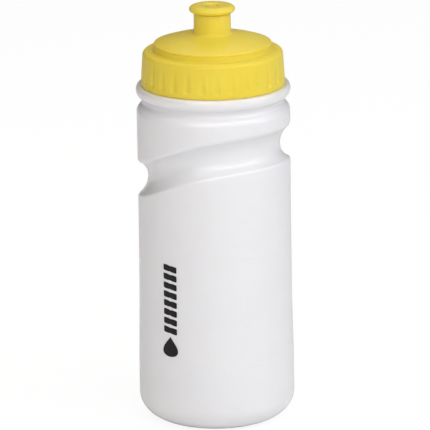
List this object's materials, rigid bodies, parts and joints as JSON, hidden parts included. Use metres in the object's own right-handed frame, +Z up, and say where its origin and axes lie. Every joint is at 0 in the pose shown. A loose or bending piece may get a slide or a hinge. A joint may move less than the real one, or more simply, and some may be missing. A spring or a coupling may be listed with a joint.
{
  "type": "sports squeeze bottle",
  "caption": "Soft plastic squeeze bottle with a slanted finger groove, a fluted screw lid and a push-pull drinking valve.",
  "frame": {"origin": "centre of the base, on the surface that the bottle stands on", "axes": "+Z up along the bottle's axis to the drinking valve, +X toward the highest point of the slanted finger groove, -Y is a quarter turn clockwise from it seen from above"},
  "size_m": [0.0726, 0.0726, 0.197],
  "materials": {
    "bottle_plastic": "milky white low-density polyethylene, satin, softly see-through",
    "lid_plastic": "satin yellow moulded polyethylene",
    "spout_plastic": "satin yellow moulded polyethylene",
    "seal_rubber": "matte translucent white silicone"
  },
  "bodies": {
    "bottle": {"bottle": "bottle_plastic"},
    "lid_seal": {"lid_seal": "seal_rubber"},
    "lid": {"lid": "lid_plastic"},
    "spout": {"spout": "spout_plastic"}
  },
  "joints": [
    {"name": "lid_rise", "type": "slide", "parent": "bottle", "child": "lid_seal", "axis": [0, 0, 1], "range_m": [0, 0.005]},
    {"name": "lid_turn", "type": "hinge", "parent": "lid_seal", "child": "lid", "pos_m": [0, 0, 0.17], "axis": [0, 0, 1], "range_deg": [0, 450]},
    {"name": "spout_pull", "type": "slide", "parent": "lid", "child": "spout", "axis": [0, 0, 1], "range_m": [0, 0.005]}
  ],
  "couplings": [
    {"joint": "lid_turn", "follows": "lid_rise", "rad_per_m": 1570.8}
  ]
}
